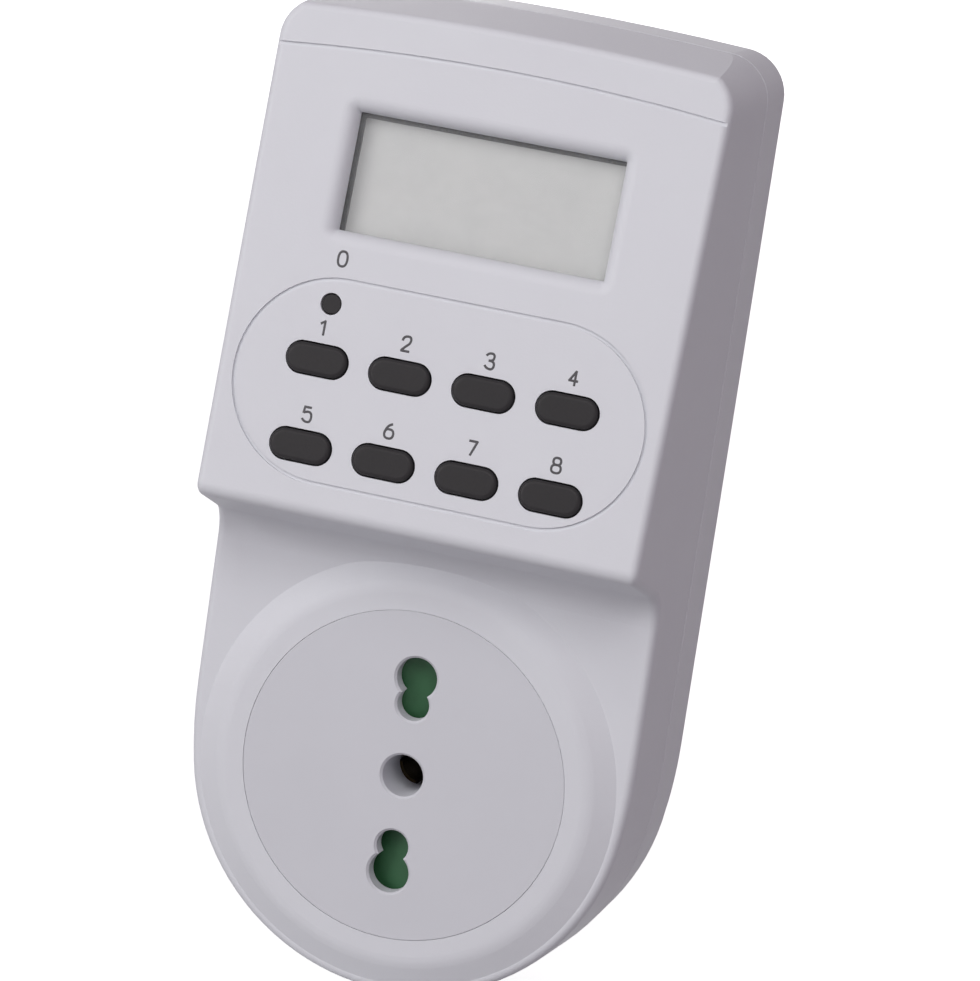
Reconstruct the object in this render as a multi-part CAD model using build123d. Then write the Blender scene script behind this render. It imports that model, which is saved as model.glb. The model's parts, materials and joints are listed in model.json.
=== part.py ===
import os
from math import atan2, cos, radians, sin, tan

from build123d import *

# A digital timer that plugs into a wall outlet and carries an outlet of its own.
# Millimetres, +Z up, front towards -Y. The origin is on the back plane, on the axis
# of the plug's middle pin, which the outlet's middle hole shares.

# Case, seen from the front
case_half_width = 30.4  # at the parting line, down to the flank
flank_start = 6.0  # above the outlet's centre, where each side starts to turn in
flank_turn_in = 0.5  # of each side, from the half width to the round lower end
case_end_radius = case_half_width - flank_turn_in
case_top = 98.0  # outlet centre to the top of the arched end
case_crown = 1.1  # rise of the arch over its shoulders
case_corner = 6.0

# Case, seen from the side
case_depth = 25.0  # back plane to the outlet's face
parting_depth = 11.0  # back plane to the line between the two covers
front_draft = 2.7  # degrees
top_draft = 5.6  # degrees, over the front half of the arched end
top_draft_clear = 0.06  # the steeper draft starts a little in front of the parting line
rear_draft = 1.0  # degrees
wall = 2.0
rear_wall = 2.2
front_round = 1.1
back_round = 1.8
seam_bevel = 0.2
tongue_height = 1.5
tongue_gap = 0.1

# Raised round face of the outlet
face_drop = 1.5  # from the raised face down to the flat round it
plateau_radius = 24.75
plateau_slope = 24.0  # degrees, of the cone from the raised face down to the flat
plateau_round = 4.0  # between the raised face and the cone

# Step and sloped control panel
panel_tilt = 9.55  # degrees from upright
panel_foot_z = 33.0
panel_foot_rise = 11.4  # the panel's foot in front of the outlet's face
panel_lip = 0.6  # up the panel from its foot, where the solid starts
step_foot_z = 29.0
lip_round = 1.8
cove_round = 5.0
groove_width = 0.5
groove_depth = 0.3
crown_groove_height = 59.6  # up the panel, at the middle
crown_groove_sag = 1.15
crown_groove_half = 26.0

# Display opening, measured up the panel from its foot
display_height = 44.0
display_length = 35.0
display_width = 15.0
display_corner = 0.1
display_round = 1.9  # from the panel down into the opening

# Display parts behind the opening
window_margin = 3.0
window_thickness = 1.2
lcd_margin = 1.6
lcd_thickness = 2.2
lcd_fit = 0.2
frame_wall = 2.2
frame_ledge = 0.3
frame_sight_top = 0.55  # the dark frame shows this much along the top of the opening
frame_sight_left = 0.3
zebra_width = 1.8

# Keys, four by two
key_names = [
    ["clock_key", "timer_key", "mode_key", "random_key"],
    ["week_key", "hour_key", "minute_key", "recall_key"],
]
key_pitch = 11.0
key_first_height = 9.0  # lower row, up the panel
key_length = 8.0
key_width = 3.9
key_gap = 0.2
key_proud = 0.55
key_round = 0.55
key_flange = 0.7
key_flange_thickness = 0.85
key_travel = 0.8
plunger_radius = 1.2
plunger_length = 0.4
rest_gap = 0.15  # flange to the back of the panel

# Reset button, recessed
reset_x = -16.1
reset_height = 27.2
reset_radius = 1.2
reset_sink = 0.25

# Oval groove round the keys
oval_length = 54.0
oval_width = 25.7
oval_height = 17.6

# Control board, parallel to the panel
board_thickness = 1.6
board_depth = 7.0  # panel surface to the board's front
board_low = 3.0
board_high = 56.8
board_side_room = 2.4  # from the case's inside at the parting line to the board's edge
board_screw_edge = 1.6  # from the board's side edge in to its screws
board_screw_low = 6.0
board_screw_high = 53.5
board_boss_radius = 2.2
mat_half_width = 21.9
mat_low = 3.4
mat_high = 30.4
mat_thickness = 1.0
dome_radius = 2.5
dome_top_radius = 1.9
press_gap = 0.1  # left between plunger and dome when a key is fully down

# Parts on the back of the control board, below the display's middle
chip_x = 6.0
chip_below_display = 14.0
chip_radius = 5.6
chip_top_radius = 3.4
chip_rise = 1.5
crystal_x = -12.0
crystal_below_display = 16.0
crystal_radius = 1.5
crystal_length = 8.0
crystal_lift = 0.1

# Outlet: three holes in line, for pins of two sizes
large_hole_radius = 2.7
small_hole_radius = 2.15
earth_hole_radius = 2.75
large_hole_z = 13.0
small_hole_z = 9.5
hole_bevel = 0.3
insert_radius = 21.65
insert_gap = 0.05
insert_wall = 2.2
insert_flange = 1.6
flange_thickness = 1.5
shutter_pocket_radius = 18.5
seam_round = 0.08

# Earth tube
tube_radius = 4.0
tube_end = 6.5  # above the back plane
tube_neck = 7.5  # length of the narrow bore behind the outlet's face
earth_sleeve_radius = 3.15
earth_sleeve_wall = 0.6
earth_sleeve_gap = 0.5  # behind the narrow bore
earth_slit = 0.8

# Safety shutter, turning on the earth tube
shutter_fit = 0.06
shutter_clear = 0.3
shutter_hub = 1.9
blade_radius = 16.6
blade_half_angle = 15.5
blade_ramp = 1.1
arm_length = 11.0
arm_half_width = 1.2
spring_x = 9.4
spring_length = 7.0
spring_radius = 0.8
spring_wire = 0.16
spring_turns = 5
post_width = 3.0
post_height = 1.4

# Contact block and brass contacts
block_radius = 20.3
block_floor = 6.0  # above the back plane: a full-length pin stops here
pocket_half_width = 3.4
pocket_low = 5.9
pocket_high = 18.4
brass = 0.6
contact_half_gap = 2.05
contact_front = 19.6
contact_back = 8.0
contact_low = 6.4
contact_high = 17.2
contact_flare = 0.6  # each arm opens by this at its mouth
contact_flare_length = 1.4
tab_half_width = 2.3
tab_end = 24.6
strip_x = 10.0
strip_eye_radius = 3.2
slot_play = 0.2

# Plug: three pins in line
pin_radius = 2.5
pin_length = 19.0
pin_spacing = 13.0
pin_end_round = 1.0
pin_seat_radius = 2.8  # thicker where the pin sits in the plug base
pin_fit = 0.05
sleeve_length = 10.0
sleeve_seat = 2.0
sleeve_wall = 0.5
collar_radius = 3.5
collar_thickness = 1.0
tenon_radius = 1.4
tenon_length = 1.0
plug_base_radius = 17.5
plug_base_gap = 0.1
plug_base_thickness = 4.3

# Screws that close the case, from the back: two in the arched end's corners, two on
# the diagonals of the round end, in the ring between contact block and wall
case_screw_side = 8.0  # from the case's side
case_screw_drop = 6.1  # from the case's top
case_screw_block_gap = 1.3
case_boss_radius = 2.9
screw_well_radius = 2.9
screw_well_wall = 0.8
screw_well_depth = 7.0
boss_meeting = 12.0  # above the back plane, where front and rear bosses meet
screw_shank_radius = 1.45
screw_head_radius = 2.6
screw_head_height = 1.8
screw_length = 12.0
screw_play = 0.05
screw_end_room = 1.0  # hole left past a screw's end
head_round_share = 0.45  # of the head's height
cross_share = 0.6  # of the head's width

# Small board screws
small_shank_radius = 1.0
small_head_radius = 2.1
small_head_height = 1.4
small_screw_length = 5.0
small_end_room = 0.4
cross_slot = 0.6

# Power board, parallel to the back
power_board_low = 34.5
power_board_high = 84.0
power_side_room = 2.9  # from the case's inside to the board's edge
power_post = 2.2
power_post_radius = 3.0
power_screw_edge = 3.5  # from the board's side edge in to its screws
power_screw_low = 38.0
power_screw_high = 80.0

# Parts on the power board: centres as (x, z), sizes as (x, z, height)
relay_at = (-9.2, 48.6)
relay_size = (29.0, 12.7, 15.7)
relay_edge = 0.6
film_capacitor_at = (16.0, 47.8)
film_capacitor_size = (17.5, 8.5, 15.0)
film_capacitor_edge = 1.2
filter_capacitor_at = (17.5, 61.0)
filter_capacitor_radius = 5.0
filter_capacitor_height = 12.5
crimp_height = 1.4
crimp_width = 0.8
crimp_depth = 0.35
battery_at = (-15.5, 66.5)
battery_radius = 7.75
battery_height = 6.2
waist_height = 2.7
waist_width = 0.8
waist_depth = 0.4
diode_x = 1.5
diode_first_z = 59.0
diode_pitch = 4.4
diode_radius = 1.35
diode_length = 5.2
resistor_at = (1.5, 79.5)
resistor_radius = 1.8
resistor_length = 9.0
varistor_at = (-13.0, 79.0)
varistor_radius = 4.2
varistor_thickness = 3.4
varistor_lift = 1.0
varistor_leg_x = 2.5
leg_radius = 0.4
leg_reach = 2.2
leg_lift = 0.4

# Leads and ribbon
lead_radius = 1.3
lead_bend = 3.4
lead_tab_z = 22.6
lead_board_z = 38.2
lead_bow = 5.6
load_lead_front = 14.2
ribbon_width = 12.0
ribbon_thickness = 0.9
ribbon_x = 15.0
ribbon_z = 77.0
ribbon_drop = 6.0  # the power board's end is this much lower
ribbon_run = 3.4  # square to each board
ribbon_bend = 1.6

# Cuts run past the faces that they open, and ribs start inside the wall that carries them
beyond = 1.0
root = 0.5
touch = 0.01

# Places worked out from the sizes above
case_screw_top = (case_half_width - case_screw_side, case_top - case_screw_drop)
case_screw_ring = block_radius + case_screw_block_gap + case_boss_radius
case_screw_low = (case_screw_ring * cos(radians(45)), -case_screw_ring * sin(radians(45)))
board_half_width = case_half_width - wall - board_side_room
board_screw_x = board_half_width - board_screw_edge
power_board_half_width = case_half_width - wall - power_side_room
power_screw_x = power_board_half_width - power_screw_edge
lcd_front_depth = wall + window_thickness + frame_ledge
outlet_y = -case_depth
flat_y = outlet_y + face_drop
flat_inside_y = flat_y + wall
parting_y = -parting_depth
panel_foot_y = outlet_y - panel_foot_rise
tilt_cos = cos(radians(panel_tilt))
tilt_sin = sin(radians(panel_tilt))
panel = Plane(
    origin=(0, panel_foot_y, panel_foot_z),
    x_dir=(1, 0, 0),
    z_dir=(0, -tilt_cos, tilt_sin),
)
flange_back_y = flat_inside_y + flange_thickness
pocket_y = outlet_y + insert_wall
shutter_front_y = pocket_y + shutter_clear
shutter_back_y = flange_back_y - shutter_clear
base_front_y = -plug_base_thickness
strip_front_y = base_front_y - brass
power_back_y = -rear_wall - power_post
power_front_y = power_back_y - board_thickness
board_back_depth = board_depth + board_thickness
far = 200.0
key_bottom_depth = wall + rest_gap + key_flange_thickness
dome_top_depth = key_bottom_depth + plunger_length + key_travel + press_gap
screw_places = [
    (side * x, z) for x, z in (case_screw_top, case_screw_low) for side in (-1, 1)
]
board_screw_places = [
    (side * board_screw_x, height)
    for height in (board_screw_low, board_screw_high)
    for side in (-1, 1)
]
power_screw_places = [
    (side * power_screw_x, z)
    for z in (power_screw_low, power_screw_high)
    for side in (-1, 1)
]


# A flat shape drawn in X and Z, made solid from y_front back to y_back
def slab(shape, y_front, y_back, taper=0.0):
    return extrude(Plane.XZ.offset(-y_back) * shape, y_back - y_front, taper=taper)


# A cylinder along Y, centred at x and z
def rod(radius, y_front, y_back, x=0.0, z=0.0):
    return slab(Pos(x, z) * Circle(radius), y_front, y_back)


# A block by its corners
def block(x_low, x_high, y_low, y_high, z_low, z_high):
    size = (x_high - x_low, y_high - y_low, z_high - z_low)
    middle = ((x_low + x_high) / 2, (y_low + y_high) / 2, (z_low + z_high) / 2)
    return Pos(*middle) * Box(*size)


# A shape drawn on the panel, made solid between two depths below its surface
def sunk(shape, depth_top, depth_bottom, taper=0.0):
    return extrude(panel.offset(-depth_bottom) * shape, depth_bottom - depth_top, taper=taper)


# A solid of revolution round Y from points given as (radius, y)
def turned(points):
    outline = make_face(Polyline(*points, close=True))
    return revolve(outline, Axis.Y)


# Outline of the case, drawn in from the parting line's outline by inset
def case_outline(inset=0.0):
    half = case_half_width - inset
    end = case_end_radius - inset
    shoulder = case_top - case_crown - inset
    flank = (half**2 + flank_start**2 - end**2) / (2 * (half - end))
    turn = atan2(flank_start, flank - half)
    middle = (half - flank + flank * cos(turn / 2), flank_start - flank * sin(turn / 2))
    low = (end * cos(turn), -end * sin(turn))
    lower_end = ThreePointArc((-low[0], low[1]), (0, -end), low)
    right_flank = ThreePointArc(low, middle, (half, flank_start))
    right = Line((half, flank_start), (half, shoulder))
    arch = ThreePointArc((half, shoulder), (0, case_top - inset), (-half, shoulder))
    left = Line((-half, shoulder), (-half, flank_start))
    left_flank = ThreePointArc((-half, flank_start), (-middle[0], middle[1]), (-low[0], low[1]))
    face = make_face(lower_end + right_flank + right + arch + left + left_flank)
    corners = face.vertices().group_by(Axis.Y)[-1]
    return fillet(corners, case_corner - inset)


# Side view of the front: flat, step, lip and sloped panel
def front_profile(inset=0.0):
    lip = (panel_foot_y + panel_lip * tilt_sin, panel_foot_z + panel_lip * tilt_cos)
    foot = (flat_y, step_foot_z)
    climb = far * tilt_cos
    face = make_face(
        Polyline(
            (flat_y, -far),
            foot,
            lip,
            (panel_foot_y + far * tilt_sin, panel_foot_z + climb),
            (far, panel_foot_z + climb),
            (far, -far),
            close=True,
        )
    )
    if inset > 0:
        return offset(face, -inset, kind=Kind.INTERSECTION)
    face = fillet(face.vertices().sort_by_distance((*lip, 0))[0], lip_round)
    return fillet(face.vertices().sort_by_distance((*foot, 0))[0], cove_round)


# The front's form in front of the parting line, or its hollow when inset by the wall. The
# arched end has its own steeper draft, cut by a cone whose edge is the arch
def front_form(inset=0.0):
    arch_radius = (case_half_width**2 + case_crown**2) / (2 * case_crown)
    disc = Pos(0, case_top - arch_radius) * Circle(arch_radius - inset + top_draft_clear)
    drafted = slab(case_outline(inset), panel_foot_y - wall, parting_y, front_draft)
    under_top = slab(disc, panel_foot_y - wall, parting_y, top_draft)
    side_view = extrude(Plane.YZ * front_profile(inset), case_half_width * 2, both=True)
    return drafted & under_top & side_view


# Raised face round the outlet, with the cone round it run on into the flat
def plateau():
    edge = (plateau_radius, outlet_y)
    root_y = flat_y + front_round / 4
    toe = (plateau_radius + (root_y - outlet_y) / tan(radians(plateau_slope)), root_y)
    face = make_face(Polyline((0, outlet_y), edge, toe, (0, root_y), close=True))
    face = fillet(face.vertices().sort_by_distance((*edge, 0))[0], plateau_round)
    return revolve(face, Axis.Y)


# Edges round the front, from the panel's top down to the round lower end
def front_rim(form):
    rim = ShapeList()
    for edge in form.edges():
        box = edge.bounding_box()
        clear_of_parting = box.max.Y < parting_y - wall
        straight_across = edge.geom_type == GeomType.LINE and box.size.X > case_half_width
        if clear_of_parting and not straight_across:
            rim.append(edge)
    return rim


# Keyhole for pins of both sizes, above or below the middle hole
def keyhole(side):
    large = Pos(0, side * large_hole_z) * Circle(large_hole_radius)
    small = Pos(0, side * small_hole_z) * Circle(small_hole_radius)
    return large + small


def key_place(row, column):
    return ((column - 1.5) * key_pitch, key_first_height + row * key_pitch)


def display_frame_outline():
    length = display_length + 2 * (lcd_margin + lcd_fit + frame_wall)
    width = display_width + 2 * (lcd_margin + lcd_fit + frame_wall)
    return Rectangle(length, width)


def front_cover():
    outside = front_form()
    outside = fillet(front_rim(outside), front_round)
    outside += plateau()
    seam = outside.faces().sort_by(Axis.Y)[-1].outer_wire().edges()
    outside = chamfer(seam, seam_bevel)
    cover = display_mouth(outside - front_form(wall))
    rebate_inset = wall / 2
    cover -= slab(case_outline(rebate_inset), parting_y - tongue_height - tongue_gap, parting_y)
    for x, z in screw_places:
        boss = rod(case_boss_radius, panel_foot_y, -boss_meeting, x, z)
        cover += boss & outside
    for x, height in board_screw_places:
        cover += sunk(Pos(x, height) * Circle(board_boss_radius), wall / 2, board_depth)
    pilot_end = -screw_well_depth - screw_length - screw_end_room
    for x, z in screw_places:
        cover -= rod(screw_shank_radius + screw_play, pilot_end, 0, x, z)
    for x, height in board_screw_places:
        pilot = Pos(x, height) * Circle(small_shank_radius + screw_play)
        pilot_top = board_back_depth - small_screw_length - small_end_room
        cover -= sunk(pilot, pilot_top, board_depth + beyond)
    cover -= rod(insert_radius + insert_gap, outlet_y - beyond, flat_inside_y + beyond)
    for row in range(2):
        for column in range(4):
            hole = SlotOverall(key_length + 2 * key_gap, key_width + 2 * key_gap)
            cover -= sunk(Pos(*key_place(row, column)) * hole, -beyond, wall + beyond)
    reset_hole = Pos(reset_x, reset_height) * Circle(reset_radius + key_gap)
    cover -= sunk(reset_hole, -beyond, wall + beyond)
    cover -= oval_groove()
    cover -= crown_groove()
    return cover


# Display opening, rounded all the way in from the panel
def display_mouth(cover):
    opening = RectangleRounded(display_length, display_width, display_corner)
    cover -= sunk(Pos(0, display_height) * opening, -beyond, wall + beyond)
    mouth = ShapeList()
    for edge in cover.edges():
        at = panel.to_local_coords(edge.center())
        in_reach = abs(at.X) < display_length and abs(at.Y - display_height) < display_width
        if in_reach and abs(at.Z) < touch:
            mouth.append(edge)
    return fillet(mouth, display_round)


def oval_groove():
    outer = SlotOverall(oval_length + groove_width, oval_width + groove_width)
    inner = SlotOverall(oval_length - groove_width, oval_width - groove_width)
    return sunk(Pos(0, oval_height) * (outer - inner), -beyond, groove_depth)


# Arched line across the panel below its top edge
def crown_groove():
    radius = (crown_groove_half**2 + crown_groove_sag**2) / (2 * crown_groove_sag)
    middle = Pos(0, crown_groove_height - radius)
    ring = middle * Circle(radius + groove_width / 2) - middle * Circle(radius - groove_width / 2)
    band = Pos(0, crown_groove_height) * Rectangle(2 * case_half_width, 4 * crown_groove_sag)
    return sunk(ring & band, -beyond, groove_depth)


def rear_cover():
    back_inset = parting_depth * tan(radians(rear_draft))
    outside = slab(case_outline(back_inset), parting_y, 0, -rear_draft)
    outside = fillet(outside.faces().sort_by(Axis.Y)[-1].edges(), back_round)
    outside = chamfer(outside.faces().sort_by(Axis.Y)[0].edges(), seam_bevel)
    hollow = slab(case_outline(wall + back_inset), parting_y - beyond, -rear_wall)
    cover = outside - hollow
    rebate_inset = wall / 2 + tongue_gap
    tongue = case_outline(rebate_inset) - case_outline(wall + back_inset)
    cover += slab(tongue, parting_y - tongue_height, parting_y + wall)
    for x, z in screw_places:
        well = rod(screw_well_radius + screw_well_wall, -boss_meeting, -rear_wall / 2, x, z)
        bound = slab(case_outline(wall), -boss_meeting, 0)
        cover += well & bound
    for x, z in power_screw_places:
        cover += rod(power_post_radius, power_back_y, -rear_wall / 2, x, z)
        cover -= rod(small_shank_radius + screw_play, power_back_y - beyond, -rear_wall / 2, x, z)
    for x, z in screw_places:
        cover -= rod(screw_well_radius, -screw_well_depth, beyond, x, z)
        cover -= rod(screw_shank_radius + 3 * screw_play, -boss_meeting - beyond, 0, x, z)
    cover -= rod(plug_base_radius + plug_base_gap, -rear_wall - beyond, beyond)
    return cover


# Round outlet face with its keyholes and the tube of the middle hole
def socket_insert():
    face = rod(insert_radius, outlet_y, flange_back_y)
    rim = face.edges().filter_by(GeomType.CIRCLE).sort_by(Axis.Y)[0]
    face = fillet(rim, seam_round)
    face += rod(insert_radius + insert_flange, flat_inside_y, flange_back_y)
    face -= rod(shutter_pocket_radius, pocket_y, flange_back_y + beyond)
    face += rod(tube_radius, pocket_y - root, -tube_end)
    post_top = -arm_half_width - spring_length
    face += block(
        spring_x - post_width / 2,
        spring_x + post_width / 2,
        pocket_y - root,
        shutter_back_y,
        post_top - post_height,
        post_top,
    )
    for side in (-1, 1):
        face -= slab(keyhole(side), outlet_y - beyond, pocket_y + beyond)
        face -= hole_mouth(large_hole_radius, side * large_hole_z)
        face -= hole_mouth(small_hole_radius, side * small_hole_z)
    face -= rod(earth_hole_radius, outlet_y - beyond, 0)
    face -= hole_mouth(earth_hole_radius, 0)
    face -= rod(earth_sleeve_radius + insert_gap * 2, outlet_y + tube_neck, 0)
    for x, z in screw_places:
        relief_radius = case_boss_radius + shutter_clear
        face -= rod(relief_radius, flat_inside_y - touch, flange_back_y + beyond, x, z)
    return face


# Small bevel at the mouth of a hole in the outlet's face
def hole_mouth(radius, z):
    bottom_y = outlet_y + hole_bevel
    mouth = [(0, outlet_y), (radius + hole_bevel, outlet_y), (radius, bottom_y), (0, bottom_y)]
    return Pos(0, 0, z) * turned(mouth)


# Two blades and an arm on a hub; each blade has a ramp that a pin's end pushes aside
def shutter():
    hub_radius = tube_radius + shutter_hub
    hub = rod(hub_radius, shutter_front_y, shutter_back_y)
    spread = blade_radius * tan(radians(blade_half_angle))
    parts = hub
    for side in (-1, 1):
        tip = side * blade_radius
        wedge = make_face(Polyline((0, 0), (spread, tip), (-spread, tip), close=True))
        blade = slab(wedge & Circle(blade_radius), shutter_front_y, shutter_back_y)
        parts += blade - blade_ramp_cut(side, spread, hub_radius)
    parts += block(0, arm_length, shutter_front_y, shutter_back_y, -arm_half_width, arm_half_width)
    return parts - rod(tube_radius + shutter_fit, shutter_front_y - beyond, shutter_back_y + beyond)


# Wedge taken off a blade's front, deepest on the side that leads when the shutter turns
def blade_ramp_cut(side, spread, hub_radius):
    lead = side * spread
    slope = make_face(
        Polyline(
            (-lead, shutter_front_y),
            (lead, shutter_front_y + blade_ramp),
            (lead, shutter_front_y - beyond),
            (-lead, shutter_front_y - beyond),
            close=True,
        )
    )
    cut = extrude(Plane.XY * slope, blade_radius + beyond, both=True)
    reach = block(-far, far, -far, far, hub_radius, far)
    if side < 0:
        reach = block(-far, far, -far, far, -far, -hub_radius)
    return cut & reach


def shutter_spring():
    turns_height = spring_length - 4 * spring_wire
    pitch = turns_height / spring_turns
    coil = Helix(pitch, turns_height, spring_radius)
    start = Plane(origin=coil @ 0, z_dir=coil % 0)
    wire = sweep(start * Circle(spring_wire), path=coil, is_frenet=True)
    middle_y = (shutter_front_y + shutter_back_y) / 2
    return Pos(spring_x, middle_y, -arm_half_width - spring_length + 2 * spring_wire) * wire


# Flat shape of the strip that joins the neutral pin, its contact and its lead
def neutral_strip_shape():
    width = 2 * tab_half_width
    shape = Pos(0, -pin_spacing) * Circle(strip_eye_radius)
    low = -contact_high - brass
    shape += Pos(0, (low - pin_spacing) / 2) * Rectangle(width, -low - pin_spacing + touch)
    shape += Pos(-strip_x / 2, -pin_spacing) * Rectangle(strip_x, width)
    arm_low = -pin_spacing - tab_half_width
    shape += Pos(-strip_x, (arm_low + tab_end) / 2) * Rectangle(width, tab_end - arm_low)
    return shape


# Flat shape of the strip from the line pin to its lead
def line_strip_shape():
    width = 2 * tab_half_width
    shape = Pos(0, pin_spacing) * Circle(strip_eye_radius)
    shape += Pos(strip_x / 2, pin_spacing) * Rectangle(strip_x, width)
    arm_low = pin_spacing - tab_half_width
    shape += Pos(strip_x, (arm_low + tab_end) / 2) * Rectangle(width, tab_end - arm_low)
    return shape


# Sprung U that grips a pin of either size from both sides
def contact_spring(side):
    outer = contact_half_gap + brass / 2
    mouth = outer + contact_flare
    bend = side * (contact_low + contact_flare_length)
    line = Polyline(
        (-mouth, side * contact_low),
        (-outer, bend),
        (-outer, side * contact_high),
        (outer, side * contact_high),
        (outer, bend),
        (mouth, side * contact_low),
    )
    return slab(trace(line, brass), -contact_front, -contact_back)


def line_contact():
    tab = block(
        -tab_half_width,
        tab_half_width,
        -contact_front,
        -contact_front + brass,
        contact_high - brass / 2,
        tab_end,
    )
    return contact_spring(1) + tab


def neutral_contact():
    low = -contact_high - brass / 2
    leg_front = -contact_back - beyond
    leg = block(-tab_half_width, tab_half_width, leg_front, base_front_y, low, low + brass)
    strip = slab(neutral_strip_shape(), strip_front_y, base_front_y)
    strip -= rod(tenon_radius + pin_fit, -far, 0, 0, -pin_spacing)
    return contact_spring(-1) + leg + strip


def line_strip():
    strip = slab(line_strip_shape(), strip_front_y, base_front_y)
    return strip - rod(tenon_radius + pin_fit, -far, 0, 0, pin_spacing)


# Slotted brass cup in the earth tube
def earth_contact():
    front = outlet_y + tube_neck + earth_sleeve_gap
    cup = rod(earth_sleeve_radius, front, base_front_y)
    cup -= rod(earth_sleeve_radius - earth_sleeve_wall, front - beyond, strip_front_y)
    cup -= rod(tenon_radius + pin_fit, strip_front_y - beyond, 0)
    slit = block(-far, far, front - beyond, -contact_back, -earth_slit / 2, earth_slit / 2)
    return cup - slit - Rot(0, 90, 0) * slit


def contact_block():
    body = rod(block_radius, flange_back_y, base_front_y)
    block_front = flange_back_y - beyond
    body -= rod(tube_radius + plug_base_gap, block_front, 0)
    for side in (-1, 1):
        middle = side * (pocket_low + pocket_high) / 2
        pocket = Pos(0, middle) * Rectangle(2 * pocket_half_width, pocket_high - pocket_low)
        body -= slab(pocket, block_front, -block_floor)
        tenon_room = strip_front_y - tenon_length + brass - slot_play
        body -= rod(tenon_radius + slot_play, tenon_room, 0, 0, side * pin_spacing)
    for shape in (neutral_strip_shape(), line_strip_shape()):
        body -= slab(offset(shape, slot_play), strip_front_y - slot_play / 2, 0)
    half = tab_half_width + slot_play
    low = -contact_high - brass / 2
    body -= block(-half, half, -block_floor - beyond, 0, low - slot_play, low + brass + slot_play)
    tab_floor = -contact_front + brass + slot_play
    body -= block(-half, half, block_front, tab_floor, contact_high, tab_end)
    return body


def plug_base():
    base = rod(plug_base_radius, base_front_y, 0)
    base += rod(block_radius, base_front_y, -rear_wall)
    collar_room = base_front_y + collar_thickness
    for z in (-pin_spacing, 0, pin_spacing):
        base -= rod(pin_seat_radius + pin_fit, -far, beyond, 0, z)
        base -= rod(collar_radius + pin_fit, base_front_y - beyond, collar_room, 0, z)
    return base


# Pin with rivet tenon, collar, thicker seat, neck under its sleeve, and rounded end
def plug_pin(z, sleeved):
    collar_back = base_front_y + collar_thickness
    neck = pin_radius - sleeve_wall - pin_fit
    points = [
        (0, base_front_y - tenon_length),
        (tenon_radius, base_front_y - tenon_length),
        (tenon_radius, base_front_y),
        (collar_radius, base_front_y),
        (collar_radius, collar_back),
        (pin_seat_radius, collar_back),
    ]
    if sleeved:
        points += [
            (pin_seat_radius, -sleeve_seat),
            (neck, -sleeve_seat),
            (neck, sleeve_length),
            (pin_radius, sleeve_length),
        ]
    else:
        points += [(pin_seat_radius, 0), (pin_radius, 0)]
    points += [(pin_radius, pin_length), (0, pin_length)]
    pin = turned(points)
    pin = fillet(pin.faces().sort_by(Axis.Y)[-1].edges(), pin_end_round)
    return Pos(0, 0, z) * pin


# Insulating sleeves on the outer pins, each with a thicker foot inside the plug base
def pin_sleeves():
    sleeves = []
    for z in (-pin_spacing, pin_spacing):
        tube = rod(pin_radius - pin_fit, -sleeve_seat, sleeve_length, 0, z)
        tube += rod(pin_seat_radius - pin_fit, -sleeve_seat, 0, 0, z)
        sleeves.append(tube - rod(pin_radius - sleeve_wall, -far, far, 0, z))
    return Compound(children=sleeves)


# Clear lens behind the display opening
def display_window():
    length = display_length + 2 * window_margin
    width = display_width + 2 * window_margin
    return sunk(Pos(0, display_height) * Rectangle(length, width), wall, wall + window_thickness)


def lcd_outline(margin=0.0):
    length = display_length + 2 * lcd_margin + 2 * margin
    width = display_width + 2 * lcd_margin + 2 * margin
    return Pos(0, display_height) * Rectangle(length, width)


def lcd_glass():
    upper = sunk(lcd_outline(), lcd_front_depth, lcd_front_depth + lcd_thickness / 2)
    step = Pos(0, display_height) * Rectangle(
        display_length + 2 * lcd_margin, display_width + 2 * lcd_margin - 2 * zebra_width
    )
    return upper + sunk(step, lcd_front_depth, lcd_front_depth + lcd_thickness)


def zebra_strips():
    length = display_length + 2 * lcd_margin
    reach = display_width / 2 + lcd_margin - zebra_width / 2
    strips = []
    for side in (-1, 1):
        shape = Pos(0, display_height + side * reach) * Rectangle(length, zebra_width - lcd_fit)
        strips.append(sunk(shape, lcd_front_depth + lcd_thickness / 2, board_depth))
    return Compound(children=strips)


def lcd_frame():
    outline = Pos(0, display_height) * display_frame_outline()
    frame = sunk(outline, wall + window_thickness, board_depth)
    frame -= sunk(lcd_outline(lcd_fit), lcd_front_depth, board_depth + beyond)
    sight = Pos(frame_sight_left / 2, display_height - frame_sight_top / 2) * Rectangle(
        display_length - frame_sight_left, display_width - frame_sight_top
    )
    frame -= sunk(sight, 0, board_depth)
    return frame


def control_board():
    height = board_high - board_low
    sheet = Pos(0, (board_low + board_high) / 2) * Rectangle(2 * board_half_width, height)
    for x, screw_height in board_screw_places:
        sheet -= Pos(x, screw_height) * Circle(small_shank_radius + slot_play)
    return sunk(sheet, board_depth, board_back_depth)


def keypad_mat():
    height = mat_high - mat_low
    sheet = Pos(0, (mat_low + mat_high) / 2) * Rectangle(2 * mat_half_width, height)
    mat = sunk(sheet, board_depth - mat_thickness, board_depth)
    places = [key_place(row, column) for row in range(2) for column in range(4)]
    for x, height in places + [(reset_x, reset_height)]:
        size = dome_top_radius if height == reset_height else dome_radius
        tip = size - dome_radius + dome_top_radius
        rise = board_depth - mat_thickness - dome_top_depth
        dome = Cone(size, tip, rise, align=(Align.CENTER, Align.CENTER, Align.MIN))
        mat += panel.location * Pos(x, height, -board_depth + mat_thickness) * dome
    return mat


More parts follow.
